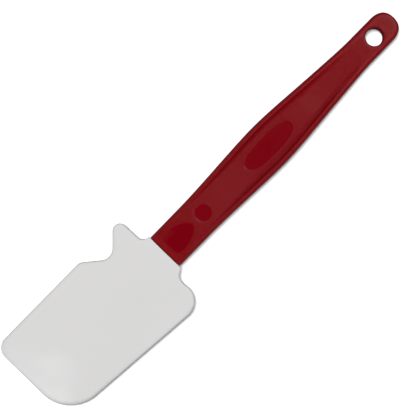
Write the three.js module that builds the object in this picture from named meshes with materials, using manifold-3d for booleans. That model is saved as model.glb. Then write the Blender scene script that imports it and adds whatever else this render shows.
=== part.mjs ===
// A heat-resistant kitchen spatula: a stiff moulded handle whose flat tang runs
// into a soft silicone blade moulded round it. Millimetres, +Z up, lying flat.
//
// The drawing frame has X = 0 on the handle's centre line, Y = 0 where the blade
// meets the handle, +Y towards the hanging end and Z = 0 on the middle plane.
// The whole drawing is then moved so that the origin is under the middle of the
// spatula, on the surface that it lies on.
import * as THREE from "three";
import { LoftGeometry } from "three/addons/geometries/LoftGeometry.js";
import { mergeVertices } from "three/addons/utils/BufferGeometryUtils.js";
import Module from "manifold-3d";

// ---------------------------------------------------------------- dimensions
const HANDLE_LENGTH = 153.66; // from the blade to the hanging end
const BLADE_LENGTH = 87.64; // from the handle to the tip
const HANDLE_HALF_THICK = 4.5; // at the throat and the grip
const HANG_END_HALF_THICK = 3.25; // at the flat land round the hanging hole
const HANDLE_EDGE = [1.6, 2.3]; // rounding along the handle's long edges, across and down
const THROAT_EDGE_R = 0.25; // rounding of the face that meets the blade
const TAPER_FROM = 90; // the thickness starts to fall here
const TAPER_TO = 131; // and is level again from here

// Half the handle's width along its length: [distance from the blade, half width].
const HALF_WIDTHS = [
  [0, 9.63], [21.5, 9.63], [25.7, 9.71], [29.5, 9.83], [33.3, 9.97], [37.0, 10.13],
  [40.8, 10.3], [44.5, 10.48], [48.3, 10.67], [52.0, 10.85], [55.8, 11.02], [59.5, 11.18],
  [63.3, 11.31], [67.0, 11.4], [68.9, 11.43], [70.8, 11.4], [74.5, 11.31], [78.3, 11.13],
  [82.1, 10.91], [85.8, 10.64], [89.6, 10.34], [93.3, 10.03], [97.1, 9.72], [100.8, 9.42],
  [104.6, 9.12], [108.3, 8.83], [112.1, 8.55], [115.8, 8.29], [119.6, 8.02], [123.4, 7.76],
  [127.1, 7.56], [131.0, 7.45], [136.5, 7.44], [145.9, 7.37], [147.8, 7.27], [149.0, 6.99],
  [150.2, 6.49], [151.4, 5.65], [152.4, 4.56], [153.1, 3.4], [HANDLE_LENGTH, 1.6],
];

// The sunk panel between the handle's two long rims, the same on both faces.
const PANEL_DEPTH = 2.1;
const PANEL_START = [8, 60]; // the panel sinks between these distances
const PANEL_END = [98, 137]; // and comes level again between these
const RIM_WIDTH = 1.9; // outline to the start of the inner slope
const RIM_SLOPE = 4.4; // width of the inner slope
const RIM_SLOPE_START = [0.35, 20, 60]; // part of that width next to the blade, and where it has grown from and to
const COVE_AT = [0, 0.1, 0.2, 0.32, 0.5, 0.75]; // where the slope is drawn, as a part of its width

const HANG_HOLE_R = 4.15;
const HANG_HOLE_Y = 140.55;

// Shallow recesses in the upper face.
const PLATE_Y = 69.5; // long round-ended recess at the widest point
const PLATE_HALF = [4.8, 14.9]; // half width, half length
const SPOT_Y = 25.6; // small round recess nearer the blade
const SPOT_R = 4.0;
const RECESS_DEPTH = 0.1;
const DISH_DEPTH = 0.1; // shallow arched recess next to the blade
const DISH_HALF_WIDTH = 5.6;
const DISH_LEAN = 1.2; // how much wider it is towards the hook
const DISH_FOOT = 2.75;
const DISH_FOOT_R = 3; // rounding of its two corners next to the blade
const DISH_ARCH = [6, 18.4]; // where its sides start to close and where they meet
const DISH_SQUARENESS = 1.9; // of the arch, 2 being an ellipse

// The tang and the silicone that grips it.
const TANG_LENGTH = 34;
const TANG_HALF_WIDTH = 7;
const TANG_HALF_THICK = 1.5;
const TANG_HOLE_R = 2.5;
const TANG_HOLES_Y = [-9, -18, -27];
const GAP = 0.3; // between the tang and the silicone
const FACE_GAP = 0.3; // between the end of the handle and the silicone

// Corners of the blade's outline, each with its rounding radius: [x, y, radius].
const BLADE_CORNERS = [
  [-10.52, 0, 0.6], // neck, left
  [-11.05, -3.81, 3.4],
  [-29.94, -4.29, 3.41], // point of the hook
  [-15.21, -19.51, 5.9], // bottom of the notch
  [-25.29, -31.52, 4.43],
  [-25.48, -BLADE_LENGTH, 6.18], // square tip corner
  [22.47, -BLADE_LENGTH, 18.18], // round tip corner
  [29.76, -3.14, 9.08], // shoulder
  [13.43, -4.68, 5.37],
  [10.55, 0, 0.6], // neck, right
];

// Half the blade's thickness along its length, [y, half thickness], and across it.
const BLADE_HALF_THICK = [
  [2, 4.5], [-3.7, 4.43], [-12, 4.1], [-22, 3.6], [-32, 3.1], [-42, 2.64],
  [-52, 2.22], [-62, 1.8], [-72, 1.36], [-80, 1.02], [-BLADE_LENGTH, 0.72],
];
const CROWN_MIDDLE = 5.15; // half thickness limit on the centre line
const CROWN_EDGE = 2.8; // half thickness limit CROWN_REACH away from it
const CROWN_REACH = 29.5;

// The line that the free end of the blade bends about.
const FLEX_Y = -46;
const FLEX_NOTCH_DEG = 22.5; // each face's slope away from the bend line
const FLEX_GAP = 0.3;

// ------------------------------------------------------------------- helpers
const wasm = await Module();
wasm.setup();

// A closed geometry as a solid that can be joined and cut.
function solid(geometry) {
  const bare = new THREE.BufferGeometry();
  bare.setAttribute("position", geometry.getAttribute("position"));
  bare.setIndex(geometry.index);
  const merged = mergeVertices(bare, 1e-4);
  const kept = [];
  const index = merged.index.array;
  for (let i = 0; i < index.length; i += 3) {
    const [a, b, c] = [index[i], index[i + 1], index[i + 2]];
    if (a !== b && b !== c && c !== a) kept.push(a, b, c);
  }
  return new wasm.Manifold(
    new wasm.Mesh({
      numProp: 3,
      vertProperties: new Float32Array(merged.attributes.position.array),
      triVerts: new Uint32Array(kept),
    }),
  );
}

// A solid back as a flat-shaded geometry.
function geometryOf(made) {
  const mesh = made.getMesh();
  const position = new Float32Array(mesh.numVert * 3);
  for (let i = 0; i < mesh.numVert; i++)
    for (let k = 0; k < 3; k++)
      position[i * 3 + k] = mesh.vertProperties[i * mesh.numProp + k];
  const indexed = new THREE.BufferGeometry();
  indexed.setAttribute("position", new THREE.BufferAttribute(position, 3));
  indexed.setIndex(new THREE.BufferAttribute(new Uint32Array(mesh.triVerts), 1));
  const flat = indexed.toNonIndexed();
  flat.computeVertexNormals();
  return flat;
}

const clamp01 = (t) => Math.min(1, Math.max(0, t));
const smooth = (t) => clamp01(t) ** 2 * (3 - 2 * clamp01(t));

// Straight-line reading of a table of [place, value] pairs in rising order.
function read(table, at) {
  if (at <= table[0][0]) return table[0][1];
  for (let i = 1; i < table.length; i++) {
    const [x0, y0] = table[i - 1];
    const [x1, y1] = table[i];
    if (at <= x1) return y0 + ((y1 - y0) * (at - x0)) / (x1 - x0);
  }
  return table[table.length - 1][1];
}

// An outline through corners that are rounded by tangent arcs.
function roundedOutline(corners, stepDeg = 9) {
  const n = corners.length;
  const points = [];
  for (let i = 0; i < n; i++) {
    const [x, y, r] = corners[i];
    const here = new THREE.Vector2(x, y);
    if (!r) {
      points.push(here);
      continue;
    }
    const [px, py] = corners[(i + n - 1) % n];
    const [qx, qy] = corners[(i + 1) % n];
    const back = new THREE.Vector2(px, py).sub(here).normalize();
    const on = new THREE.Vector2(qx, qy).sub(here).normalize();
    const half = Math.acos(THREE.MathUtils.clamp(back.dot(on), -1, 1)) / 2;
    const reach = r / Math.tan(half);
    const from = here.clone().addScaledVector(back, reach);
    const to = here.clone().addScaledVector(on, reach);
    const centre = here
      .clone()
      .addScaledVector(back.clone().add(on).normalize(), r / Math.sin(half));
    let a0 = Math.atan2(from.y - centre.y, from.x - centre.x);
    let a1 = Math.atan2(to.y - centre.y, to.x - centre.x);
    if (a1 - a0 > Math.PI) a1 -= 2 * Math.PI;
    if (a0 - a1 > Math.PI) a1 += 2 * Math.PI;
    const steps = Math.max(2, Math.ceil(Math.abs(a1 - a0) / THREE.MathUtils.degToRad(stepDeg)));
    for (let k = 0; k <= steps; k++) {
      const a = a0 + ((a1 - a0) * k) / steps;
      points.push(new THREE.Vector2(centre.x + r * Math.cos(a), centre.y + r * Math.sin(a)));
    }
  }
  return points;
}

// A flat outline in X and Y, pulled from z0 to z1, with round holes [x, y, radius].
function plate(points, z0, z1, holes = [], holeSegments = 20) {
  const shape = new THREE.Shape(points);
  for (const [x, y, r] of holes) {
    const ring = [];
    for (let i = 0; i < holeSegments; i++) {
      const a = (2 * Math.PI * i) / holeSegments;
      ring.push(new THREE.Vector2(x + r * Math.cos(a), y + r * Math.sin(a)));
    }
    shape.holes.push(new THREE.Path(ring));
  }
  const made = new THREE.ExtrudeGeometry(shape, { depth: z1 - z0, bevelEnabled: false });
  return solid(made.translate(0, 0, z0));
}

// A side view, points of [y, z], pulled across the blade from x0 to x1.
function acrossX(points, x0, x1) {
  const shape = new THREE.Shape(points.map(([y, z]) => new THREE.Vector2(y, z)));
  const made = new THREE.ExtrudeGeometry(shape, { depth: x1 - x0, bevelEnabled: false });
  // shape x -> Y, shape y -> Z, depth -> X
  const turn = new THREE.Matrix4().makeBasis(
    new THREE.Vector3(0, 1, 0),
    new THREE.Vector3(0, 0, 1),
    new THREE.Vector3(1, 0, 0),
  );
  return solid(made.applyMatrix4(turn).translate(x0, 0, 0));
}

// An end view, points of [x, z], pulled along the blade from y0 to y1.
function alongY(points, y0, y1) {
  const shape = new THREE.Shape(points.map(([x, z]) => new THREE.Vector2(x, z)));
  const made = new THREE.ExtrudeGeometry(shape, { depth: y1 - y0, bevelEnabled: false });
  // shape x -> X, shape y -> Z, depth -> -Y
  const turn = new THREE.Matrix4().makeBasis(
    new THREE.Vector3(1, 0, 0),
    new THREE.Vector3(0, 0, 1),
    new THREE.Vector3(0, -1, 0),
  );
  return solid(made.applyMatrix4(turn).translate(0, y1, 0));
}

function pillar(x, y, r, z0, z1, segments) {
  const made = new THREE.CylinderGeometry(r, r, z1 - z0, segments);
  return solid(made.rotateX(Math.PI / 2).translate(x, y, (z0 + z1) / 2));
}

// -------------------------------------------------------------------- handle
const halfThick = (y) =>
  HANDLE_HALF_THICK -
  (HANDLE_HALF_THICK - HANG_END_HALF_THICK) *
    smooth((y - TAPER_FROM) / (TAPER_TO - TAPER_FROM));

// How far down its slope the panel is, from 0 to 1, at a part of the slope's width.
const cove = (t) => 1 - (1 - t) ** 5 * (1 + 5 * t);

// The slope is narrow next to the blade, where the panel starts.
function rimSlope(y) {
  const [part, from, to] = RIM_SLOPE_START;
  return RIM_SLOPE * (part + (1 - part) * smooth((y - from) / (to - from)));
}

const panelDepth = (y) =>
  PANEL_DEPTH *
  smooth((y - PANEL_START[0]) / (PANEL_START[1] - PANEL_START[0])) *
  (1 - smooth((y - PANEL_END[0]) / (PANEL_END[1] - PANEL_END[0])));

// One cross-section of the handle: a rounded bar with a sunk panel in each face.
function handleSection(y, inset) {
  const w = read(HALF_WIDTHS, y) - inset;
  const t = halfThick(y) - inset;
  const d = panelDepth(y);
  const shrink = Math.min(1, w / 6.8); // keeps the rounding inside the narrow end
  const across = HANDLE_EDGE[0] * shrink;
  const down = ((HANDLE_EDGE[1] * t) / HANDLE_HALF_THICK) * shrink;
  const quarter = [[w, 0]];
  for (const deg of [0, 30, 60, 90]) {
    const a = THREE.MathUtils.degToRad(deg);
    quarter.push([w - 0.06 * shrink - across * (1 - Math.cos(a)), t - down * (1 - Math.sin(a))]);
  }
  for (const part of COVE_AT)
    quarter.push([w - (RIM_WIDTH + rimSlope(y) * part) * shrink, t - d * cove(part)]);
  const ring = [];
  for (const [x, z] of quarter) ring.push([x, z]);
  for (const [x, z] of [...quarter].reverse().slice(0, -1)) ring.push([-x, z]);
  ring.push([-quarter[0][0], 0]);
  for (const [x, z] of quarter.slice(1)) ring.push([-x, -z]);
  for (const [x, z] of [...quarter].reverse().slice(0, -1)) ring.push([x, -z]);
  return ring.map(([x, z]) => new THREE.Vector3(x, y, z));
}

const handleSections = [];
for (const [y, inset] of [[0, THROAT_EDGE_R], [0.1, 0.08], [THROAT_EDGE_R, 0]])
  handleSections.push(handleSection(FACE_GAP + y, inset));
const stations = HALF_WIDTHS.map(([y]) => y).filter((y) => y > 1);
stations.push(2, 4, 6.3, 12, 18.5);
stations.sort((a, b) => a - b);
for (const y of stations) handleSections.push(handleSection(y, 0));

const handleLoft = new LoftGeometry(
  handleSections.map((ring) => [...ring].reverse()),
  { closed: true, capStart: true, capEnd: true },
);
let handle = solid(handleLoft);

// Hanging hole and recesses.
handle = handle.subtract(pillar(0, HANG_HOLE_Y, HANG_HOLE_R, -8, 8, 32));
const panelTop = HANDLE_HALF_THICK - PANEL_DEPTH;
const plateOutline = [];
for (let i = 0; i < 40; i++) {
  const a = (2 * Math.PI * i) / 40;
  const squareness = 2.6; // between an ellipse and a long round-ended slot
  const cx = Math.sign(Math.cos(a)) * Math.abs(Math.cos(a)) ** (2 / squareness);
  const cy = Math.sign(Math.sin(a)) * Math.abs(Math.sin(a)) ** (2 / squareness);
  plateOutline.push(new THREE.Vector2(PLATE_HALF[0] * cx, PLATE_Y + PLATE_HALF[1] * cy));
}
handle = handle.subtract(plate(plateOutline, panelTop - RECESS_DEPTH, 8));
handle = handle.subtract(
  pillar(0, SPOT_Y, SPOT_R, HANDLE_HALF_THICK - panelDepth(SPOT_Y) - RECESS_DEPTH, 8, 28),
);
const dishOutline = [];
for (const side of [-1, 1])
  for (let i = 0; i <= 6; i++) {
    const a = (Math.PI / 12) * (side < 0 ? i : 6 - i);
    dishOutline.push(
      new THREE.Vector2(
        side * (DISH_HALF_WIDTH - DISH_FOOT_R * (1 - Math.cos(a))),
        DISH_FOOT + DISH_FOOT_R * (1 - Math.sin(a)),
      ),
    );
  }
for (let i = 0; i <= 28; i++) {
  const a = (Math.PI * i) / 28;
  const x = Math.sign(Math.cos(a)) * Math.abs(Math.cos(a)) ** (2 / DISH_SQUARENESS);
  const y = Math.sin(a) ** (2 / DISH_SQUARENESS);
  dishOutline.push(
    new THREE.Vector2(DISH_HALF_WIDTH * x, DISH_ARCH[0] + (DISH_ARCH[1] - DISH_ARCH[0]) * y),
  );
}
const dishFloor = HANDLE_HALF_THICK - panelDepth(DISH_ARCH[1]) - DISH_DEPTH;
for (const p of dishOutline) if (p.x < 0) p.x *= DISH_LEAN;
handle = handle.subtract(plate(dishOutline, dishFloor, 8));

// The tang: a flat tongue with holes that the silicone fills.
function tangOutline(grow) {
  const w = TANG_HALF_WIDTH + grow;
  const tip = -TANG_LENGTH - grow;
  return roundedOutline(
    [[-w, 2, 0], [-w, tip, 5 + grow], [w, tip, 5 + grow], [w, 2, 0]],
    15,
  );
}
handle = handle.add(
  plate(
    tangOutline(0),
    -TANG_HALF_THICK,
    TANG_HALF_THICK,
    TANG_HOLES_Y.map((y) => [0, y, TANG_HOLE_R]),
  ),
);

// --------------------------------------------------------------------- blade
const crownHalf = (x) =>
  CROWN_EDGE + (CROWN_MIDDLE - CROWN_EDGE) * (1 - (x / CROWN_REACH) ** 2);

let blade = plate(roundedOutline(BLADE_CORNERS, 5), -6, 6);

const sideTop = BLADE_HALF_THICK.map(([y, t]) => [y, t]);
const sideView = [...sideTop, ...[...sideTop].reverse().map(([y, t]) => [y, -t])];
sideView[sideTop.length - 1][0] -= 1; // carried past the tip
sideView[sideTop.length][0] -= 1;
blade = blade.intersect(acrossX(sideView, -40, 40));

const crownXs = [];
for (let x = -32; x <= 32; x += 4) crownXs.push(x);
const endView = [
  ...crownXs.map((x) => [x, -crownHalf(x)]),
  ...[...crownXs].reverse().map((x) => [x, crownHalf(x)]),
];
blade = blade.intersect(alongY(endView, -100, 10));

// The pocket for the tang leaves posts of silicone standing through its holes.
blade = blade.subtract(
  plate(
    tangOutline(GAP),
    -TANG_HALF_THICK - GAP,
    TANG_HALF_THICK + GAP,
    TANG_HOLES_Y.map((y) => [0, y, TANG_HOLE_R - GAP]),
  ),
);

// The blade is parted at the bend line, each side sloping away from it.
const slope = Math.tan(THREE.MathUtils.degToRad(FLEX_NOTCH_DEG)) * 10;
const rootSide = acrossX(
  [
    [FLEX_Y + FLEX_GAP / 2, 0],
    [FLEX_Y + FLEX_GAP / 2 + slope, -10],
    [10, -10],
    [10, 10],
    [FLEX_Y + FLEX_GAP / 2 + slope, 10],
  ],
  -40,
  40,
);
const tipSide = acrossX(
  [
    [FLEX_Y - FLEX_GAP / 2, 0],
    [FLEX_Y - FLEX_GAP / 2 - slope, 10],
    [-100, 10],
    [-100, -10],
    [FLEX_Y - FLEX_GAP / 2 - slope, -10],
  ],
  -40,
  40,
);
const bladeRoot = blade.intersect(rootSide);
const bladeTip = blade.intersect(tipSide);

// ------------------------------------------------------------------ assembly
const group = new THREE.Group();
const red = new THREE.MeshStandardMaterial({ color: 0x7d1b1f, roughness: 0.45, metalness: 0 });
const white = () =>
  new THREE.MeshStandardMaterial({ color: 0xd9d9d8, roughness: 0.55, metalness: 0 });

function addPiece(name, made, material) {
  const mesh = new THREE.Mesh(geometryOf(made), material);
  mesh.name = name;
  group.add(mesh);
}
addPiece("handle", handle, red);
addPiece("blade_root", bladeRoot, white());
addPiece("blade_tip", bladeTip, white());

// The origin goes under the middle of the outline, on the surface below.
const box = new THREE.Box3().setFromObject(group, true);
const middle = box.getCenter(new THREE.Vector3());
for (const mesh of group.children) mesh.position.set(-middle.x, -middle.y, -box.min.z);

export default group;
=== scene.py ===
"""A heat-resistant kitchen spatula: a stiff red moulded handle and a soft white silicone blade moulded
round the handle's flat tang. The surfaces are worked out in millimetres in a drawing frame, with X = 0 on
the handle's centre line, Y = 0 where the blade meets the handle, +Y towards the hanging end and Z = 0 on
the middle plane, and are then moved to the frame's own place, in metres.
"""
import math

import bpy
import numpy as np
from mathutils import Matrix, Vector
from mathutils.geometry import delaunay_2d_cdt


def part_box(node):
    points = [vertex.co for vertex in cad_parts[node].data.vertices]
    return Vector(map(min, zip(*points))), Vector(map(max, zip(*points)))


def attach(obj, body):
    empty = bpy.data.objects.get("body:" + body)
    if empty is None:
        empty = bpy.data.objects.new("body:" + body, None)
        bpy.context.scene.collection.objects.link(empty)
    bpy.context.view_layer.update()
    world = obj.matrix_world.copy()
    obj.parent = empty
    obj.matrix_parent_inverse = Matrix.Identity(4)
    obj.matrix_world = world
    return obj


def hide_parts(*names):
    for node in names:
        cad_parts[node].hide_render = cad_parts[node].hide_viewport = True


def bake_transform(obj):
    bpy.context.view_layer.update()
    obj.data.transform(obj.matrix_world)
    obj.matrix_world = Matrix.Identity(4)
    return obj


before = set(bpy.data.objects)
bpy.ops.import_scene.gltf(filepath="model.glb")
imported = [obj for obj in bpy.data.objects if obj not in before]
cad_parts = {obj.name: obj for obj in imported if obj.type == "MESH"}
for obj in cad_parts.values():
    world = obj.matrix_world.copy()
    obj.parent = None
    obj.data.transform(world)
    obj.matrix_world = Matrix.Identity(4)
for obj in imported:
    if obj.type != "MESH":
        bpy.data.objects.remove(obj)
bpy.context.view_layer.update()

# ------------------------------------------------------------------ dimensions
HANDLE_LENGTH = 153.66
BLADE_LENGTH = 87.64
HALF_THICK = 4.5
HANG_HALF_THICK = 3.25
TAPER = (90.0, 131.0)
EDGE = (1.6, 2.3)  # the rounding of the long edges, across and down
END_R = 0.25
END_CORNER_R = 0.45
HALF_WIDTHS = [
    (0, 9.63), (21.5, 9.63), (25.7, 9.71), (29.5, 9.83), (33.3, 9.97), (37.0, 10.13),
    (40.8, 10.3), (44.5, 10.48), (48.3, 10.67), (52.0, 10.85), (55.8, 11.02), (59.5, 11.18),
    (63.3, 11.31), (67.0, 11.4), (68.9, 11.43), (70.8, 11.4), (74.5, 11.31), (78.3, 11.13),
    (82.1, 10.91), (85.8, 10.64), (89.6, 10.34), (93.3, 10.03), (97.1, 9.72), (100.8, 9.42),
    (104.6, 9.12), (108.3, 8.83), (112.1, 8.55), (115.8, 8.29), (119.6, 8.02), (123.4, 7.76),
    (127.1, 7.56), (131.0, 7.45), (136.5, 7.44), (145.9, 7.37), (150.0, 7.37),
]
HANG_CURVE = (7.37, 145.5, 8.16, 2.35)  # half width, start, reach, squareness of the rounded end

PANEL_DEPTH = 2.1
PANEL_START = (8.0, 60.0)
PANEL_END = (98.0, 137.0)
RIM_WIDTH = 1.9
RIM_SLOPE = 4.4

HOLE_R = 4.12
HOLE_Y = 140.55
HOLE_EDGE = (0.45, 1.2)  # the rounding of its edges, across and down

RECESS_DEPTH = 0.1
RECESS_WALL = 0.16  # half the width of a recess's sloping wall
SPOT = (25.6, 4.0)
PLATE = (69.5, 4.8, 14.9, 2.6)  # middle, half width, half length, squareness
DISH_DEPTH = 0.1
DISH = (5.6, 2.75, 6.0, 18.4, 1.9, 3.0)  # half width, foot, spring and top of its arch, squareness, corners
DISH_LEAN = 1.2  # how much wider it is towards the hook

TANG_LENGTH = 34.0
TANG_HALF_WIDTH = 7.0
TANG_HALF_THICK = 1.5
TANG_HOLE_R = 2.5
TANG_HOLES_Y = (-9.0, -18.0, -27.0)
TANG_CORNER_R = 5.0
BOND = 0.03  # the silicone lies this close to the tang
SEAM = 0.3  # the fine slit between the silicone and the end of the handle

BLADE_CORNERS = [
    (-10.52, 0, 0.6),
    (-11.05, -3.81, 3.4),
    (-29.94, -4.29, 3.41),
    (-15.21, -19.51, 5.9),
    (-25.29, -31.52, 4.43),
    (-25.48, -BLADE_LENGTH, 6.18),
    (22.47, -BLADE_LENGTH, 18.18),
    (29.76, -3.14, 9.08),
    (13.43, -4.68, 5.37),
    (10.55, 0, 0.6),
]
BLADE_HALF_THICK = [
    (-BLADE_LENGTH, 0.72), (-80, 1.02), (-72, 1.36), (-62, 1.8), (-52, 2.22), (-42, 2.64),
    (-32, 3.1), (-22, 3.6), (-12, 4.1), (-3.7, 4.43), (2, 4.5),
]
CROWN = (2.8, 2.35, 29.5)
BLADE_EDGE = (0.6, 1.0)  # the rounding of its edges, across and down
SCRAPER_EDGE = (1.0, 2.2)  # and along the side with the shoulder and the round corner
BLADE_END_R = 0.15


# --------------------------------------------------------------------- helpers
def smooth(t):
    t = np.clip(t, 0.0, 1.0)
    return t * t * (3 - 2 * t)


def curve_through(table):
    """A curve through (place, value) pairs that never overshoots them."""
    xs = np.array([p[0] for p in table], float)
    ys = np.array([p[1] for p in table], float)
    h = np.diff(xs)
    rise = np.diff(ys) / h
    slope = np.zeros(len(xs))
    for i in range(1, len(xs) - 1):
        if rise[i - 1] * rise[i] > 0:
            a, b = 2 * h[i] + h[i - 1], h[i] + 2 * h[i - 1]
            slope[i] = (a + b) / (a / rise[i - 1] + b / rise[i])
    slope[0], slope[-1] = rise[0], rise[-1]

    def read(at):
        at = np.clip(np.asarray(at, float), xs[0], xs[-1])
        i = np.clip(np.searchsorted(xs, at, side="right") - 1, 0, len(h) - 1)
        t = (at - xs[i]) / h[i]
        return (
            ys[i] * (1 + 2 * t) * (1 - t) ** 2
            + h[i] * slope[i] * t * (1 - t) ** 2
            + ys[i + 1] * t * t * (3 - 2 * t)
            + h[i] * slope[i + 1] * t * t * (t - 1)
        )

    return read


def softened(read, low, high, width, step=0.25):
    """read with its small unevenness averaged out over about that width."""
    at = np.arange(low - 6 * width, high + 6 * width + step, step)
    value = read(np.clip(at, low, high))
    reach = int(4 * width / step)
    kernel = np.exp(-0.5 * (np.arange(-reach, reach + 1) * step / width) ** 2)
    kernel /= kernel.sum()
    padded = np.concatenate([np.full(reach, value[0]), value, np.full(reach, value[-1])])
    even = np.convolve(padded, kernel, "valid")
    return lambda y: np.interp(y, at, even)


def rounded(corners, gap=0.4, straight=0.9):
    """A closed outline through corners (x, y, radius), its corners rounded by arcs, with points no
    further apart than gap on the arcs and straight on the sides."""
    n = len(corners)
    runs = []
    for i in range(n):
        here = np.array(corners[i][:2], float)
        r = corners[i][2]
        back = np.array(corners[i - 1][:2], float) - here
        on = np.array(corners[(i + 1) % n][:2], float) - here
        back /= np.linalg.norm(back)
        on /= np.linalg.norm(on)
        half = math.acos(max(-1.0, min(1.0, float(back @ on)))) / 2
        middle = back + on
        middle /= np.linalg.norm(middle)
        centre = here + middle * (r / math.sin(half))
        start = here + back * (r / math.tan(half))
        end = here + on * (r / math.tan(half))
        a0 = math.atan2(*(start - centre)[::-1])
        a1 = math.atan2(*(end - centre)[::-1])
        if a1 - a0 > math.pi:
            a1 -= 2 * math.pi
        if a0 - a1 > math.pi:
            a1 += 2 * math.pi
        steps = max(5, math.ceil(abs(a1 - a0) * r / gap))
        a = np.linspace(a0, a1, steps + 1)
        runs.append(np.stack([centre[0] + r * np.cos(a), centre[1] + r * np.sin(a)], 1))
    out = []
    for i in range(n):
        out.append(runs[i])
        p, q = runs[i][-1], runs[(i + 1) % n][0]
        steps = max(1, math.ceil(np.linalg.norm(q - p) / straight))
        t = np.arange(1, steps)[:, None] / steps
        out.append(p + (q - p) * t)
    return np.concatenate(out)


def inward(loop):
    """Unit normals that point into a closed anticlockwise outline."""
    along = np.roll(loop, -1, 0) - np.roll(loop, 1, 0)
    along /= np.linalg.norm(along, axis=1)[:, None]
    return np.stack([-along[:, 1], along[:, 0]], 1)


def distance(points, chain):
    """Distance from each point to an open chain of straight pieces."""
    a, b = chain[:-1], chain[1:]
    d = b - a
    size = np.maximum((d * d).sum(1), 1e-12)
    best = np.full(len(points), np.inf)
    for start in range(0, len(points), 2000):
        p = points[start : start + 2000]
        t = np.clip(((p[:, None] - a) * d).sum(2) / size, 0, 1)
        near = a + t[..., None] * d
        best[start : start + 2000] = np.sqrt(((p[:, None] - near) ** 2).sum(2).min(1))
    return best


def inside(points, loop):
    """Whether each point lies inside a closed outline."""
    x, y = points[:, 0][:, None], points[:, 1][:, None]
    x0, y0 = loop[:, 0], loop[:, 1]
    x1, y1 = np.roll(x0, -1), np.roll(y0, -1)
    crosses = (y0 > y) != (y1 > y)
    with np.errstate(divide="ignore", invalid="ignore"):
        hit = x < (x1 - x0) * (y - y0) / (y1 - y0) + x0
    return (crosses & hit).sum(1) % 2 == 1


def closed(loop):
    return np.concatenate([loop, loop[:1]])


class Shell:
    """The points and faces of one closed surface, in drawing millimetres."""

    def __init__(self):
        self.parts, self.count, self.faces, self.marks = [], 0, [], []

    def add(self, xyz):
        xyz = np.asarray(xyz, float).reshape(-1, 3)
        ids = np.arange(self.count, self.count + len(xyz))
        self.parts.append(xyz)
        self.count += len(xyz)
        return ids

    def xyz(self):
        made = np.concatenate(self.parts)
        self.parts = [made]
        return made

    def compact(self):
        """Leaves out the points that belong to no face."""
        place = self.xyz()
        used = np.unique(np.concatenate([np.array(f) for f in self.faces]))
        number = np.full(len(place), -1)
        number[used] = np.arange(len(used))
        self.parts, self.count = [place[used]], len(used)
        self.faces = [[int(number[i]) for i in f] for f in self.faces]

    def face(self, ids, mark):
        self.faces.append([int(i) for i in ids])
        self.marks.append(mark)

    def strip(self, low, high, mark, skip=None, ring=True, flip=False):
        """Quads between two rows of points, facing out where the rows run anticlockwise."""
        n = len(low)
        for i in range(n if ring else n - 1):
            if skip is not None and skip[i]:
                continue
            j = (i + 1) % n
            quad = (low[i], low[j], high[j], high[i])
            self.face(quad[::-1] if flip else quad, mark)

    def fill(self, ids, flat, chains, keep, mark, flip=False):
        """Triangles over points given by their places on a plane, inside the first of the closed chains
        of edges. All the chains' edges are kept."""
        ids = np.asarray(ids)
        edges = [(int(a), int(b)) for c in chains for a, b in zip(c[:-1], c[1:])]
        at = [Vector((float(x), float(y))) for x, y in flat]
        _, _, faces, origin, _, _ = delaunay_2d_cdt(at, edges, [], 1, 1e-6, True)
        tri = []
        for f in faces:
            if any(not origin[i] for i in f):
                raise ValueError(f"{mark}: two edges of the surface cross")
            tri.append([origin[i][0] for i in f])
        tri = np.array(tri)
        p = np.asarray(flat, float)[tri]
        turn = (p[:, 1, 0] - p[:, 0, 0]) * (p[:, 2, 1] - p[:, 0, 1]) - (
            p[:, 1, 1] - p[:, 0, 1]
        ) * (p[:, 2, 0] - p[:, 0, 0])
        tri[turn < 0] = tri[turn < 0][:, ::-1]
        middle = p.mean(1)
        within = inside(middle, np.asarray(flat, float)[chains[0][:-1]])
        tri = tri[within & keep(middle) & (np.abs(turn) > 1e-7)]
        for t in tri:
            self.face(ids[t][::-1] if flip else ids[t], mark)
        return ids[tri]


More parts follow.
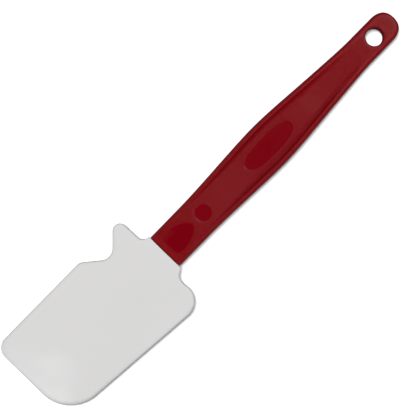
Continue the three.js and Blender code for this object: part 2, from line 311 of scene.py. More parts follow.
def tongue(shell, root, tip, half_width, half_thick, corner, hole_r, mark, flip):
    """The tang's surface, open at its root, or turned inside out the pocket that holds it. Returns the
    rim of the opening at the root, anticlockwise in X and Z."""
    down = np.linspace(root, tip + corner, 18)
    bend = np.linspace(0, math.pi / 2, 9)[1:]
    left = np.concatenate(
        [
            np.stack([np.full(18, -half_width), down], 1),
            np.stack([-half_width + corner * (1 - np.cos(bend)), tip + corner * (1 - np.sin(bend))], 1),
        ]
    )
    chain = np.concatenate([left, left[::-1] * [-1, 1]])
    across = np.linspace(half_width, -half_width, 15)[1:-1]
    loop = np.concatenate([chain, np.stack([across, np.full(13, root)], 1)])
    rims = [
        np.stack([hole_r * np.cos(a), y + hole_r * np.sin(a)], 1)
        for y in TANG_HOLES_Y
        for a in [np.linspace(0, 2 * math.pi, 33)[:-1]]
    ]
    heights = np.linspace(-half_thick, half_thick, 4)
    rows = [shell.add(np.column_stack([chain, np.full(len(chain), z)])) for z in heights]
    edge = {}
    holes = {}
    for k, z in ((0, heights[0]), (3, heights[-1])):
        edge[k] = shell.add(np.column_stack([loop[len(chain):], np.full(13, z)]))
        holes[k] = [shell.add(np.column_stack([r, np.full(len(r), z)])) for r in rims]
        ids = np.concatenate([rows[k], edge[k], *holes[k]])
        flat = np.concatenate([loop, *rims])
        chains = [list(range(len(loop))) + [0]]
        base = len(loop)
        for r in rims:
            chains.append(list(range(base, base + len(r))) + [base])
            base += len(r)
        shell.fill(
            ids,
            flat,
            chains,
            lambda c: np.all([np.hypot(c[:, 0], c[:, 1] - y) > hole_r * 0.99 for y in TANG_HOLES_Y], 0),
            mark,
            flip=(k == 0) != flip,
        )
    for low, high in zip(rows[:-1], rows[1:]):
        shell.strip(low, high, mark, ring=False, flip=flip)
    for low, high in zip(holes[0], holes[3]):
        shell.strip(low, high, mark, flip=not flip)
    bottom = [rows[0][0], *edge[0][::-1], rows[0][-1]]
    right = [r[-1] for r in rows[1:-1]]
    top = [rows[3][-1], *edge[3], rows[3][0]]
    left = [r[0] for r in rows[1:-1]][::-1]
    return np.array(bottom + right + top + left)


def end_face(shell, rim, hole, mark, flip):
    """The flat face across an end, from its outer rim to the rim of the tang."""
    place = shell.xyz()
    ids = np.concatenate([rim, hole])
    flat = place[ids][:, [0, 2]]
    chains = [
        list(range(len(rim))) + [0],
        list(range(len(rim), len(ids))) + [len(rim)],
    ]
    opening = flat[len(rim):]
    shell.fill(ids, flat, chains, lambda c: ~inside(c, opening), mark, flip=flip)


# ---------------------------------------------------------------------- handle
half_width = softened(curve_through(HALF_WIDTHS), 0.0, 150.0, 1.4)


def handle_half(y):
    return HALF_THICK - (HALF_THICK - HANG_HALF_THICK) * smooth((y - TAPER[0]) / (TAPER[1] - TAPER[0]))


def panel_depth(y):
    return (
        PANEL_DEPTH
        * smooth((y - PANEL_START[0]) / (PANEL_START[1] - PANEL_START[0]))
        * (1 - smooth((y - PANEL_END[0]) / (PANEL_END[1] - PANEL_END[0])))
    )


def rim_slope(y):
    """How wide the slope down to the panel is. It is narrow next to the blade, where the panel starts."""
    return RIM_SLOPE * (0.35 + 0.65 * smooth((y - 20.0) / 40.0))


def cove(edge, y):
    """How far down its slope the panel is, from 0 to 1, at this distance from the outline."""
    t = np.clip((edge - RIM_WIDTH) / rim_slope(y), 0, 1)
    return 1 - (1 - t) ** 5 * (1 + 5 * t)


def handle_outline():
    a, y0, reach, square = HANG_CURVE
    w0 = float(half_width(0))
    corner = np.linspace(-math.pi / 2, 0, 7)
    right = [np.stack([w0 - END_CORNER_R * (1 - np.cos(corner)), SEAM + END_CORNER_R * (1 + np.sin(corner))], 1)]
    ys = np.linspace(SEAM + END_CORNER_R, y0, 184)[1:]
    right.append(np.stack([half_width(ys), ys], 1))
    t = np.linspace(0, math.pi / 2, 400)
    end = np.stack([a * np.cos(t) ** (2 / square), y0 + reach * np.sin(t) ** (2 / square)], 1)
    end[:, 0] *= float(half_width(y0)) / a
    run = np.concatenate([[0], np.cumsum(np.linalg.norm(np.diff(end, axis=0), axis=1))])
    at = np.linspace(0, run[-1], 33)[1:]
    right.append(np.stack([np.interp(at, run, end[:, 0]), np.interp(at, run, end[:, 1])], 1))
    right = np.concatenate(right)
    left = right[-2::-1] * [-1, 1]
    steps = 24
    across = np.linspace(left[-1][0], right[0][0], steps + 1)[1:-1]
    edge = np.stack([across, np.full(steps - 1, SEAM)], 1)
    # which part of the outline each point belongs to: 0 the end face, 1 the free sides
    part = np.concatenate([np.ones(len(right) + len(left)), np.zeros(steps - 1)])
    part[0] = part[len(right) + len(left) - 1] = 0
    return np.concatenate([right, left, edge]), part, len(right) + len(left)


def recess_loops():
    """The outlines of the recesses: (outline, depth at each point's place, name)."""
    a = np.linspace(0, 2 * math.pi, 73)[:-1]
    spot = np.stack([SPOT[1] * np.cos(a), SPOT[0] + SPOT[1] * np.sin(a)], 1)
    b = np.linspace(0, 2 * math.pi, 2001)[:-1]
    c, s = np.cos(b), np.sin(b)
    plate = np.stack(
        [
            PLATE[1] * np.sign(c) * np.abs(c) ** (2 / PLATE[3]),
            PLATE[0] + PLATE[2] * np.sign(s) * np.abs(s) ** (2 / PLATE[3]),
        ],
        1,
    )
    run = np.concatenate([[0], np.cumsum(np.linalg.norm(np.diff(closed(plate), axis=0), axis=1))])
    at = np.linspace(0, run[-1], 141)[:-1]
    ring = closed(plate)
    plate = np.stack([np.interp(at, run, ring[:, 0]), np.interp(at, run, ring[:, 1])], 1)
    half, foot, spring, top, square, corner = DISH
    t = np.linspace(0, math.pi, 1601)
    c, s = np.cos(t), np.sin(t)
    bend = np.linspace(0, math.pi / 2, 12)
    dish = np.concatenate(
        [
            np.stack([-half + corner * (1 - np.cos(bend)), foot + corner * (1 - np.sin(bend))], 1),
            np.stack([half - corner * (1 - np.sin(bend)), foot + corner * (1 - np.cos(bend))], 1),
            np.stack([half * np.sign(c) * np.abs(c) ** (2 / square), spring + (top - spring) * s ** (2 / square)], 1),
        ]
    )
    dish[:, 0] *= np.where(dish[:, 0] < 0, DISH_LEAN, 1.0)
    ring = closed(dish)
    run = np.concatenate([[0], np.cumsum(np.linalg.norm(np.diff(ring, axis=0), axis=1))])
    at = np.linspace(0, run[-1], 131)[:-1]
    dish = np.stack([np.interp(at, run, ring[:, 0]), np.interp(at, run, ring[:, 1])], 1)
    return [
        (spot, lambda p: np.full(len(p), RECESS_DEPTH), "spot"),
        (plate, lambda p: np.full(len(p), RECESS_DEPTH), "plate"),
        (dish, lambda p: DISH_DEPTH * smooth((p[:, 1] - 3.0) / 8.0) * smooth((p[:, 0] + 7.0) / 9.0), "dish"),
    ]


def build_handle():
    shell = Shell()
    outline, part, body = handle_outline()
    n = len(outline)
    normal = inward(outline)
    y = outline[:, 1]
    thick = handle_half(y)
    across = np.full(n, EDGE[0])
    down = EDGE[1] * thick / HALF_THICK
    drafted = smooth((y - SEAM) / 1.2)
    wall = thick - down
    # The end next to the blade shows the bar's rounded section, with a small rounding of its own edge.
    at_blade = y < SEAM + END_CORNER_R + 1e-6
    middle = float(half_width(0)) - END_CORNER_R

    def ring(inset, z):
        points = outline + normal * inset[:, None]
        near_top = np.clip(END_R - (thick - np.abs(z)), 0, END_R)
        back = END_R - np.sqrt(END_R**2 - near_top**2)
        shifted = np.column_stack([outline[:, 0] - inset * np.clip(outline[:, 0] / middle, -1, 1), y + back])
        points[at_blade] = shifted[at_blade]
        return shell.add(np.column_stack([points, z]))

    # Rings from the lower face round the side to the upper face. The side leans in from the mould's
    # parting line, which stands a little proud.
    turns = np.radians(np.linspace(90, 0, 11))
    sides_at = [(0.6 * wall, 0.055), (0.26 + 0 * wall, 0.035), (0.13 + 0 * wall, 0.03)]
    rings = []
    for a in turns:
        rings.append(ring(0.08 * drafted + across * (1 - np.cos(a)), -(wall + down * np.sin(a))))
    first_wall = len(rings) - 1
    for z, inset in sides_at:
        rings.append(ring(inset * drafted, -z))
    rings.append(ring(0 * drafted, 0 * wall))
    for z, inset in sides_at[::-1]:
        rings.append(ring(inset * drafted, z))
    last_wall = len(rings)
    for a in turns[::-1]:
        rings.append(ring(0.08 * drafted + across * (1 - np.cos(a)), wall + down * np.sin(a)))
    at_end = np.zeros(n, bool)
    at_end[body - 1 :] = True  # the stretch of outline along the end face
    for k in range(len(rings) - 1):
        flat_end = first_wall <= k < last_wall
        shell.strip(rings[k], rings[k + 1], "side", skip=at_end if flat_end else None)

    # The end face, pierced by the tang.
    stretch = np.concatenate([np.arange(body - 1, n), [0]])
    low, high = rings[first_wall], rings[last_wall]
    rim = np.concatenate(
        [
            low[stretch],
            [rings[k][0] for k in range(first_wall + 1, last_wall)],
            high[stretch][::-1],
            [rings[k][body - 1] for k in range(last_wall - 1, first_wall, -1)],
        ]
    )
    hole = tongue(shell, SEAM, -TANG_LENGTH, TANG_HALF_WIDTH, TANG_HALF_THICK, TANG_CORNER_R, TANG_HOLE_R, "tang", False)
    end_face(shell, rim, hole, "end", False)

    # The two broad faces.
    sides = outline[:body]
    recesses = recess_loops()
    lines = []
    steps = 1.0 * np.array([0, 0.05, 0.11, 0.18, 0.26, 0.35, 0.46, 0.6, 0.78, 1.0])
    for step in steps:
        for half in (np.arange(0, body // 2), np.arange(body // 2, body)):
            run = half[(outline[half, 1] > 6.5) & (outline[half, 1] < 131)]
            reach = RIM_WIDTH + rim_slope(outline[run, 1]) * step
            points = outline[run] + normal[run] * reach[:, None]
            free = np.ones(len(points), bool)
            for loop, depth, name in recesses:
                free &= (distance(points, closed(loop)) > RECESS_WALL + 0.2) & ~inside(points, loop)
            for stretch in np.split(np.arange(len(points)), np.where(np.diff(free.astype(int)))[0] + 1):
                if free[stretch[0]] and len(stretch) > 1:
                    lines.append((points[stretch], reach[stretch]))
    angle = np.linspace(0, 2 * math.pi, 65)[:-1]
    circle = np.stack([np.cos(angle), np.sin(angle)], 1)
    hole_turns = np.radians(np.linspace(90, 0, 7))
    spacing = 1.05
    gx, gy = np.meshgrid(np.arange(-11.55, 11.6, spacing), np.arange(0.5, 152.5, spacing * 0.87))
    gx = gx + (np.arange(gx.shape[0]) % 2)[:, None] * spacing / 2
    grid = np.stack([gx.ravel(), gy.ravel()], 1)
    grid = grid[inside(grid, outline)]
    grid_edge = distance(grid, sides)
    in_lines = (grid[:, 1] > 6.1) & (grid[:, 1] < 131.4)
    clear = np.where(in_lines, RIM_WIDTH + rim_slope(grid[:, 1]) + 0.45, EDGE[0] + 0.5)
    keep = (grid_edge > clear) & (grid[:, 1] > SEAM + END_R + 0.4)
    keep &= np.hypot(grid[:, 0], grid[:, 1] - HOLE_Y) > HOLE_R + HOLE_EDGE[0] + 0.45
    grid, grid_edge = grid[keep], grid_edge[keep]

    hole_rings = {}
    for up in (True, False):
        sign = 1 if up else -1
        boundary = rings[-1] if up else rings[0]
        place = shell.xyz()
        ids = [boundary]
        flat = [place[boundary][:, :2]]
        chains = [list(range(n)) + [0]]
        base = n

        def put(points, z, link, ring_closed=True):
            nonlocal base
            made = shell.add(np.column_stack([points, sign * z]))
            ids.append(made)
            flat.append(points)
            if link:
                chain = list(range(base, base + len(points)))
                chains.append(chain + [base] if ring_closed else chain)
            base += len(points)
            return made

        def surface(points, edge):
            return handle_half(points[:, 1]) - panel_depth(points[:, 1]) * cove(edge, points[:, 1])

        for points, reach in lines:
            put(points, surface(points, reach), True, False)
        hole_rings[up] = []
        for a in hole_turns:
            rr = HOLE_R + 0.05 + HOLE_EDGE[0] * (1 - math.cos(a))
            points = circle * rr + [0, HOLE_Y]
            z = handle_half(points[:, 1]) - HOLE_EDGE[1] * (1 - math.sin(a))
            hole_rings[up].append(put(points, z, True))
        spots, spots_edge = grid, grid_edge
        if up:
            clear_of = np.ones(len(spots), bool)
            drop = np.zeros(len(spots))
            for loop, depth, name in recesses:
                away = distance(spots, closed(loop))
                clear_of &= away > 0.5
                drop += np.where(inside(spots, loop), depth(spots), 0)
            spots, spots_edge, drop = spots[clear_of], spots_edge[clear_of], drop[clear_of]
            for loop, depth, name in recesses:
                into = inward(loop)
                for s in np.array([-1, -0.6, -0.2, 0.2, 0.6, 1.0]) * RECESS_WALL:
                    points = loop + into * s
                    edge = distance(points, sides)
                    z = surface(points, edge) - depth(points) * smooth((s + RECESS_WALL) / (2 * RECESS_WALL))
                    put(points, z, True)
            put(spots, surface(spots, spots_edge) - drop, False)
        else:
            put(spots, surface(spots, spots_edge), False)
        shell.fill(
            np.concatenate(ids),
            np.concatenate(flat),
            chains,
            lambda c: np.hypot(c[:, 0], c[:, 1] - HOLE_Y) > HOLE_R + 0.05,
            "upper" if up else "lower",
            flip=not up,
        )
    # The wall of the hanging hole, with the parting line half way down.
    lower, upper = hole_rings[False][-1], hole_rings[True][-1]
    place = shell.xyz()
    z0, z1 = place[lower][:, 2], place[upper][:, 2]
    between = [lower]
    for f, inset in ((-0.5, 0.025), (-0.05, 0.02), (0.0, 0.0), (0.05, 0.02), (0.5, 0.025)):
        points = circle * (HOLE_R + inset) + [0, HOLE_Y]
        between.append(shell.add(np.column_stack([points, f * np.where(f < 0, -z0, z1)])))
    between.append(upper)
    for low, high in zip(between[:-1], between[1:]):
        shell.strip(low, high, "hole", flip=True)
    # the fillets of the hole are part of the broad faces
    return shell, recesses, sides


# ----------------------------------------------------------------------- blade
side_profile = softened(curve_through(BLADE_HALF_THICK), -BLADE_LENGTH - 0.001, 2.0, 2.0)


def blade_half(p):
    """Half the blade's thickness: the thinner of its side view and its crowned end view, run together."""
    a = side_profile(p[:, 1])
    b = CROWN[0] + CROWN[1] * (1 - (p[:, 0] / CROWN[2]) ** 2)
    k = 0.4
    low = np.minimum(a, b)
    return low - k * np.log(np.exp(-(a - low) / k) + np.exp(-(b - low) / k)) * 0.6


def build_blade():
    shell = Shell()
    outline = rounded(BLADE_CORNERS, 0.45, 0.9)
    n = len(outline)
    normal = inward(outline)
    y = outline[:, 1]
    at_neck = (np.abs(y) < 1e-6) & (np.abs(outline[:, 0]) < 10.5)
    near = (np.abs(outline[:, 0]) < 17) & (y > -3.6)
    fade = np.where(near, smooth((-y - 0.5) / 2.6), 1.0)
    scraper = smooth((-normal[:, 0] - 0.1) / 0.7)
    half = blade_half(outline)
    across = BLADE_EDGE[0] + (SCRAPER_EDGE[0] - BLADE_EDGE[0]) * scraper
    down = np.minimum(BLADE_EDGE[1] + (SCRAPER_EDGE[1] - BLADE_EDGE[1]) * scraper, 0.85 * half)
    across = np.minimum(across, 0.1 + (0.55 + 0.35 * scraper) * down)
    across = BLADE_END_R + (across - BLADE_END_R) * fade
    down = BLADE_END_R + (down - BLADE_END_R) * fade
    proud = np.where(near, smooth((-y - 0.1) / 1.0), 1.0)
    wall = half - down

    def ring(inset, height, sign):
        points = outline + normal * inset[:, None]
        return shell.add(np.column_stack([points, sign * height(points)]))

    turns = np.radians(np.linspace(90, 0, 11))
    rings = []
    for a in turns:
        rings.append(ring(0.04 * proud + across * (1 - np.cos(a)), lambda p: blade_half(p) - down * (1 - np.sin(a)), -1))
    for f, inset in ((-0.4, 0.03), (0.0, 0.0), (0.4, 0.03)):
        rings.append(ring(inset * proud, lambda p: wall * f, 1))
    for a in turns[::-1]:
        rings.append(ring(0.04 * proud + across * (1 - np.cos(a)), lambda p: blade_half(p) - down * (1 - np.sin(a)), 1))
    # The outline starts with the left corner of the neck and ends with the right one, so the end face
    # is the stretch that closes it.
    neck = np.where(at_neck)[0]
    run = np.concatenate([neck[neck > n // 2], neck[neck <= n // 2]])
    at_end = np.zeros(n, bool)
    at_end[run[:-1]] = True
    first_wall, last_wall = 10, len(rings) - 11
    for k in range(len(rings) - 1):
        shell.strip(rings[k], rings[k + 1], "side", skip=at_end if first_wall <= k < last_wall else None)
    low, high = rings[first_wall], rings[last_wall]
    rim = np.concatenate(
        [
            low[run],
            [rings[k][run[-1]] for k in range(first_wall + 1, last_wall)],
            high[run][::-1],
            [rings[k][run[0]] for k in range(last_wall - 1, first_wall, -1)],
        ]
    )
    hole = tongue(
        shell, 0.0, -TANG_LENGTH - BOND, TANG_HALF_WIDTH + BOND, TANG_HALF_THICK + BOND, TANG_CORNER_R + BOND, TANG_HOLE_R - BOND, "pocket", True
    )
    end_face(shell, rim, hole, "end", True)

    spacing = 1.1
    gx, gy = np.meshgrid(np.arange(-33, 33, spacing), np.arange(-90, 1, spacing * 0.87))
    gx = gx + (np.arange(gx.shape[0]) % 2)[:, None] * spacing / 2
    grid = np.stack([gx.ravel(), gy.ravel()], 1)
    grid = grid[inside(grid, outline)]
    grid = grid[distance(grid, closed(outline)) > SCRAPER_EDGE[0] + 0.5]
    for up in (True, False):
        boundary = rings[-1] if up else rings[0]
        made = shell.add(np.column_stack([grid, (1 if up else -1) * blade_half(grid)]))
        place = shell.xyz()
        shell.fill(
            np.concatenate([boundary, made]),
            np.concatenate([place[boundary][:, :2], grid]),
            [list(range(n)) + [0]],
            lambda c: np.ones(len(c), bool),
            "upper" if up else "lower",
            flip=not up,
        )
    return shell, outline


# ---------------------------------------------------------- meshes in the frame
low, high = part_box("handle")
SHIFT = np.array(
    [
        (low.x + high.x) * 500,
        high.y * 1000 - HANDLE_LENGTH,
        (low.z + high.z) * 500,
    ]
)


def to_frame(xyz):
    return (np.asarray(xyz, float) + SHIFT) / 1000


def make_object(name, shell, attributes):
    place = shell.xyz()
    mesh = bpy.data.meshes.new(name)
    mesh.from_pydata(to_frame(place).tolist(), [], shell.faces)
    if mesh.validate(verbose=False):
        raise ValueError(f"{name}: faces repeat")
    for key, value in attributes.items():
        made = mesh.attributes.new(key, "FLOAT", "POINT")
        made.data.foreach_set("value", np.asarray(value, np.float32))
    mesh.polygons.foreach_set("use_smooth", [True] * len(mesh.polygons))
    mesh.set_sharp_from_angle(angle=math.radians(50))
    mesh.update()
    piece = bpy.data.objects.new(name, mesh)
    bpy.context.scene.collection.objects.link(piece)
    return piece


handle_shell, recesses, handle_sides = build_handle()
blade_shell, blade_outline = build_blade()
handle_shell.compact()
blade_shell.compact()

place = handle_shell.xyz()
polish = np.zeros(len(place))
on_top = place[:, 2] > 1.6
for loop, depth, name in recesses:
    within = on_top & inside(place[:, :2], loop)
    if name == "dish":
        left, foot = smooth((1.0 - place[:, 0]) / 6.0), smooth((8.0 - place[:, 1]) / 5.0)
        low = smooth((13.0 - place[:, 1]) / 5.0)
        fade = 0.2 + 1.4 * left * (1 - low) + 0.7 * foot
        ragged = within * np.clip(distance(place[:, :2], closed(loop)) / fade, 0, 1)
        steps = 0.5 * smooth((place[:, 0] + 7.0) / 1.4) + 0.5 * smooth((place[:, 0] + 3.6) / 1.8)
        ragged *= 1 - low * (1 - steps)
    else:
        within &= distance(place[:, :2], closed(loop)) > RECESS_WALL * 0.5
        polish = np.maximum(polish, within * (0.9 if name == "spot" else 0.78))
edge_way = distance(place[:, :2], handle_sides)
# Lighter red along each rim's crest, set a little further in on the +X side, is partly wear and partly painted
# highlight; the lighter band at the end next to the blade is painted highlight.
wear_and_sheen = np.clip(1.2 - np.abs(edge_way - 1.75 - 0.3 * (place[:, 0] > 0)) / 0.65, 0, 1) * (np.abs(place[:, 2]) > 1.6)
wear_and_sheen = np.maximum(wear_and_sheen * smooth((place[:, 1] - 4) / 8), 0.7 * smooth((5.0 - place[:, 1]) / 4.0) * (place[:, 1] > SEAM + 0.05))
# Painted shade: the rim and wall of the hanging hole are coloured darker and made rougher, standing in for the shade in
# the hole.
from_hole = np.hypot(place[:, 0], place[:, 1] - HOLE_Y) - HOLE_R
painted_shade = np.clip(1 - from_hole / (HOLE_EDGE[0] + 0.1), 0, 1)
handle = make_object("handle_body", handle_shell, {"polish": polish, "ragged": ragged, "wear_and_sheen": wear_and_sheen, "painted_shade": painted_shade})

place = blade_shell.xyz()
edge_way = distance(place[:, :2], closed(blade_outline))
# Painted shade along the blade's edge: darker towards +X and darkest at the round corner, where the edge faces away
# from the light; none near the neck.
corner = np.exp(-((place[:, 0] - 22) ** 2 + (place[:, 1] + 76) ** 2) / (2 * 8.5**2))
painted_shade = 0.08 + 0.12 * smooth((place[:, 0] + 10) / 25) + 0.28 * corner
painted_shade *= np.clip(1.6 - edge_way, 0, 1) * smooth((-place[:, 1] - 6) / 6)
# On the blade this mask is only wear: a slightly greyer tone near the outline.
blade = make_object("silicone_blade", blade_shell, {"wear_and_sheen": np.clip(1 - edge_way / 1.6, 0, 1), "painted_shade": painted_shade})


# ------------------------------------------------------------------- materials
class Nodes:
    def __init__(self, name):
        self.material = bpy.data.materials.new(name)
        self.material.use_nodes = True
        self.tree = self.material.node_tree
        self.shader = next(n for n in self.tree.nodes if n.type == "BSDF_PRINCIPLED")

    def node(self, kind, **settings):
        made = self.tree.nodes.new(kind)
        for key, value in settings.items():
            setattr(made, key, value)
        return made

    def link(self, out, into):
        self.tree.links.new(out, into)

    def noise(self, where, scale, detail=2.0, rough=0.5, stretch=None):
        if stretch is not None:
            turn = self.node("ShaderNodeMapping")
            turn.inputs["Scale"].default_value = stretch
            self.link(where, turn.inputs["Vector"])
            where = turn.outputs["Vector"]
        made = self.node("ShaderNodeTexNoise")
        self.link(where, made.inputs["Vector"])
        made.inputs["Scale"].default_value = scale
        made.inputs["Detail"].default_value = detail
        made.inputs["Roughness"].default_value = rough
        return made.outputs["Fac"]

    def ramp(self, value, low, high, to_low=0.0, to_high=1.0):
        made = self.node("ShaderNodeMapRange")
        self.link(value, made.inputs["Value"])
        for key, number in (("From Min", low), ("From Max", high), ("To Min", to_low), ("To Max", to_high)):
            made.inputs[key].default_value = number
        return made.outputs["Result"]

    def math(self, kind, a, b):
        made = self.node("ShaderNodeMath", operation=kind)
        for socket, value in zip(made.inputs, (a, b)):
            if isinstance(value, (int, float)):
                socket.default_value = value
            else:
                self.link(value, socket)
        return made.outputs[0]

    def mix(self, factor, a, b):
        made = self.node("ShaderNodeMix", data_type="RGBA")
        if isinstance(factor, (int, float)):
            made.inputs[0].default_value = factor
        else:
            self.link(factor, made.inputs[0])
        for socket, value in ((made.inputs[6], a), (made.inputs[7], b)):
            if isinstance(value, tuple):
                socket.default_value = (*value, 1)
            else:
                self.link(value, socket)
        return made.outputs[2]

    def attribute(self, name):
        return self.node("ShaderNodeAttribute", attribute_name=name).outputs["Fac"]

    def bump(self, height, strength, reach, under=None):
        made = self.node("ShaderNodeBump")
        made.inputs["Distance"].default_value = reach
        if isinstance(strength, (int, float)):
            made.inputs["Strength"].default_value = strength
        else:
            self.link(strength, made.inputs["Strength"])
        self.link(height, made.inputs["Height"])
        if under is not None:
            self.link(under, made.inputs["Normal"])
        return made.outputs["Normal"]


RED = (0.198, 0.0016, 0.0044)
RED_SHADE = (0.188, 0.0014, 0.0040)
RED_PAINTED_RECESS_SHADE = (0.186, 0.0003, 0.0046)
RED_WEAR_AND_SHEEN = (0.228, 0.006, 0.010)
# the colour of the painted shade round the hanging hole
RED_PAINTED_SHADE = (0.075, 0.0012, 0.0025)
WHITE = (0.716, 0.708, 0.705)
WHITE_SHADE = (0.702, 0.695, 0.693)
WHITE_PAINTED_SHADE = (0.35, 0.345, 0.34)

n = Nodes("red_moulded_plastic")
where = n.node("ShaderNodeTexCoord").outputs["Object"]
torn = n.math("ADD", n.attribute("ragged"), n.ramp(n.noise(where, 420.0, 3.0, 0.6), 0.25, 0.75, -0.2, 0.2))
torn = n.math("MULTIPLY", n.ramp(torn, 0.08, 0.8), n.ramp(n.attribute("ragged"), 0.0, 0.1))
recess_shade_mask = n.math("MAXIMUM", n.attribute("polish"), torn)
gloss_mask = n.math("MAXIMUM", n.attribute("polish"), n.ramp(torn, 0.88, 1.0))
half_worn = n.math("MULTIPLY", n.ramp(torn, 0.0, 0.88), n.ramp(torn, 0.88, 1.0, 1.0, 0.0))
wear_and_sheen_mask = n.attribute("wear_and_sheen")
broad = n.noise(where, 38.0, 3.0)
grain = n.noise(where, 2600.0, 2.0, 0.6)
scuff = n.noise(where, 420.0, 3.0, 0.7)
tone = n.mix(n.ramp(broad, 0.3, 0.7), RED, RED_SHADE)
# Painted shade: the polished recesses and the dish get a darker red; their gloss, set through the roughness below, is
# real.
tone = n.mix(recess_shade_mask, tone, RED_PAINTED_RECESS_SHADE)
# wear and painted highlight on the rim crests and at the end next to the blade
wear_and_sheen_share = n.math("MULTIPLY", wear_and_sheen_mask, n.ramp(scuff, 0.35, 0.65, 0.55, 0.95))
tone = n.mix(wear_and_sheen_share, tone, RED_WEAR_AND_SHEEN)
# painted shade round the hanging hole, darker and rougher
painted_shade_mask = n.math("MULTIPLY", n.attribute("painted_shade"), n.ramp(scuff, 0.3, 0.6, 0.8, 1.0))
tone = n.mix(painted_shade_mask, tone, RED_PAINTED_SHADE)
n.link(tone, n.shader.inputs["Base Color"])
handling = n.noise(where, 60.0, 4.0, 0.65, (8.0, 1.0, 8.0))
rough = n.math("ADD", n.ramp(gloss_mask, 0.0, 1.0, 0.37, 0.15), n.ramp(handling, 0.3, 0.7, -0.014, 0.014))
n.link(n.math("ADD", rough, n.math("MULTIPLY", painted_shade_mask, 0.45)), n.shader.inputs["Roughness"])
n.link(n.bump(grain, n.ramp(gloss_mask, 0.0, 1.0, 0.16, 0.02), 0.00012), n.shader.inputs["Normal"])
n.link(n.ramp(half_worn, 0.0, 1.0, 0.5, 0.06), n.shader.inputs["Specular IOR Level"])
red = n.material

n = Nodes("white_silicone")
where = n.node("ShaderNodeTexCoord").outputs["Object"]
wear_and_sheen_mask = n.attribute("wear_and_sheen")
broad = n.noise(where, 30.0, 3.0)
cloud = n.noise(where, 140.0, 4.0, 0.6)
skin = n.noise(where, 1900.0, 2.0, 0.55)
tone = n.mix(n.ramp(broad, 0.3, 0.7), WHITE, WHITE_SHADE)
tone = n.mix(n.math("MULTIPLY", wear_and_sheen_mask, n.ramp(cloud, 0.45, 0.75, 0.0, 0.35)), tone, (0.64, 0.64, 0.62))
# painted shade along the blade's edge
tone = n.mix(n.math("MULTIPLY", n.attribute("painted_shade"), n.ramp(cloud, 0.3, 0.7, 0.85, 1.15)), tone, WHITE_PAINTED_SHADE)
n.link(tone, n.shader.inputs["Base Color"])
n.link(n.ramp(cloud, 0.3, 0.7, 0.062, 0.084), n.shader.inputs["Roughness"])
soft = n.bump(n.noise(where, 34.0, 1.6), 0.07, 0.004)
n.link(n.bump(skin, 0.05, 0.0001, soft), n.shader.inputs["Normal"])
n.shader.inputs["Specular IOR Level"].default_value = 0.4
white = n.material

handle.data.materials.append(red)
blade.data.materials.append(white)

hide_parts("handle")
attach(handle, "handle")
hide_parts("blade_root", "blade_tip")
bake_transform(blade)

# ------------------------------------------------------------------ the studio
scene = bpy.context.scene
scene.view_settings.view_transform = "Standard"
scene.view_settings.look = "None"

floor_mesh = bpy.data.meshes.new("floor")
size = 6.0
floor_mesh.from_pydata([(-size, -size, 0), (size, -size, 0), (size, size, 0), (-size, size, 0)], [], [(0, 1, 2, 3)])
floor = bpy.data.objects.new("floor", floor_mesh)
scene.collection.objects.link(floor)
ground = Nodes("pale_floor")
ground.shader.inputs["Base Color"].default_value = (0.94, 0.94, 0.94, 1)
ground.shader.inputs["Roughness"].default_value = 0.9
ground.shader.inputs["Specular IOR Level"].default_value = 0.0
ground.shader.inputs["Emission Color"].default_value = (1, 1, 1, 1)
ground.shader.inputs["Emission Strength"].default_value = 0.3
# The floor throws less light back on the object than it shows, as if the table stood in a darker room.
dim = ground.node("ShaderNodeBsdfDiffuse")
dim.inputs["Color"].default_value = (0.25, 0.25, 0.25, 1)
mirrored = ground.node("ShaderNodeBsdfDiffuse")
mirrored.inputs["Color"].default_value = (0.26, 0.26, 0.26, 1)
ray = ground.node("ShaderNodeLightPath")
bounce = ground.node("ShaderNodeMixShader")
ground.link(ray.outputs["Is Glossy Ray"], bounce.inputs[0])
ground.link(dim.outputs[0], bounce.inputs[1])
ground.link(mirrored.outputs[0], bounce.inputs[2])
share = ground.node("ShaderNodeMixShader")
ground.link(ray.outputs["Is Camera Ray"], share.inputs[0])
ground.link(bounce.outputs[0], share.inputs[1])
ground.link(ground.shader.outputs[0], share.inputs[2])
ground.link(share.outputs[0], next(k for k in ground.tree.nodes if k.type == "OUTPUT_MATERIAL").inputs[0])
floor_mesh.materials.append(ground.material)

world = bpy.data.worlds.new("studio")
scene.world = world
world.use_nodes = True
tree = world.node_tree
tree.nodes.clear()
out = tree.nodes.new("ShaderNodeOutputWorld")
seen = tree.nodes.new("ShaderNodeBackground")
seen.inputs["Color"].default_value = (1, 1, 1, 1)
seen.inputs["Strength"].default_value = 1.0
glow = tree.nodes.new("ShaderNodeBackground")
glow.inputs["Color"].default_value = (1, 1, 1, 1)
glow.inputs["Strength"].default_value = 0.006
path = tree.nodes.new("ShaderNodeLightPath")
pick = tree.nodes.new("ShaderNodeMixShader")
tree.links.new(path.outputs["Is Camera Ray"], pick.inputs[0])
tree.links.new(glow.outputs[0], pick.inputs[1])
tree.links.new(seen.outputs[0], pick.inputs[2])
tree.links.new(pick.outputs[0], out.inputs[0])

on_object = bpy.data.collections.new("lit_object")
on_object.objects.link(handle)
on_object.objects.link(blade)
on_handle = bpy.data.collections.new("lit_handle")
on_handle.objects.link(handle)
on_blade = bpy.data.collections.new("lit_blade")
on_blade.objects.link(blade)
on_floor = bpy.data.collections.new("lit_floor")
on_floor.objects.link(floor)

AIM = Vector(to_frame([0, 30, 0]))


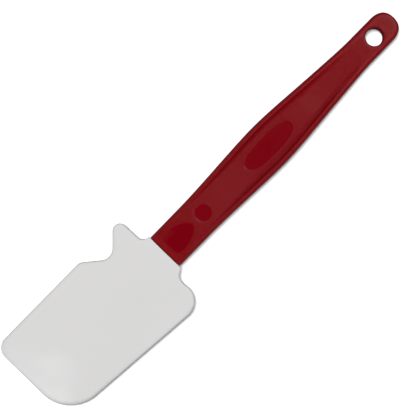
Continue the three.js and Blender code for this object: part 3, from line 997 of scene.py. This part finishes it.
def softbox(name, zenith, bearing, size, power, shine=True, only=None, shape="SQUARE"):
    """An even light 1.4 m from the object, at an angle from straight overhead and a bearing in
    degrees from +X towards +Y. Without shine it is a polarised light that leaves no reflections."""
    lamp = bpy.data.lights.new(name, "AREA")
    lamp.shape = shape
    lamp.size = size
    lamp.energy = power
    made = bpy.data.objects.new(name, lamp)
    scene.collection.objects.link(made)
    z, b = math.radians(zenith), math.radians(bearing)
    way = Vector((math.sin(z) * math.cos(b), math.sin(z) * math.sin(b), math.cos(z)))
    made.location = AIM + way * 1.4
    made.rotation_euler = (-way).to_track_quat("-Z", "Y").to_euler()
    made.visible_camera = False
    made.visible_glossy = shine
    made.light_linking.receiver_collection = only or on_object
    return made


softbox("key_shoulder_side", 50, 40, 0.5, 12.0, shine=False)
softbox("key_hook_side", 42, 228, 0.5, 12.9, shine=False)
softbox("sheen_hang_end", 23, 90, 0.3, 1.05)
softbox("sheen_shoulder_side", 22, 0, 0.3, 0.4, only=on_handle)
softbox("sheen_hook_side", 26, 135, 0.3, 0.3)
softbox("rim_hang_end", 50, 90, 0.4, 1.4)
softbox("rim_hook_side", 60, 180, 0.4, 0.5)
softbox("rim_shoulder_side", 60, 0, 0.4, 0.25)
softbox("sheen_blade", 18.5, 271.9, 0.11, 0.078, only=on_blade, shape="DISK")
softbox("fill_hang_end", 80, 90, 0.5, 4.0, shine=False, only=on_blade)

sun = bpy.data.lights.new("floor_key", "SUN")
sun.energy = 3.0
sun.angle = math.radians(16)
sunlight = bpy.data.objects.new("floor_key", sun)
scene.collection.objects.link(sunlight)
sunlight.rotation_euler = Vector((0.17, 0.02, -1.0)).to_track_quat("-Z", "Y").to_euler()
sunlight.light_linking.receiver_collection = on_floor

TILT = math.radians(45.73407)
camera = bpy.data.cameras.new("camera")
camera.lens = 146.1
camera.sensor_width = 36
camera.clip_start, camera.clip_end = 0.05, 30
view = bpy.data.objects.new("camera", camera)
scene.collection.objects.link(view)
right = Vector((math.sin(TILT), math.cos(TILT), 0))
up = Vector((-math.cos(TILT), math.sin(TILT), 0))
back = Vector((0, 0, 1))
turn = Matrix((right, up, back)).transposed().to_4x4()
turn.translation = Vector(to_frame([-1.62, 26.0, 0.0])) + back * 0.8
view.matrix_world = turn
scene.camera = view

bpy.context.view_layer.update()
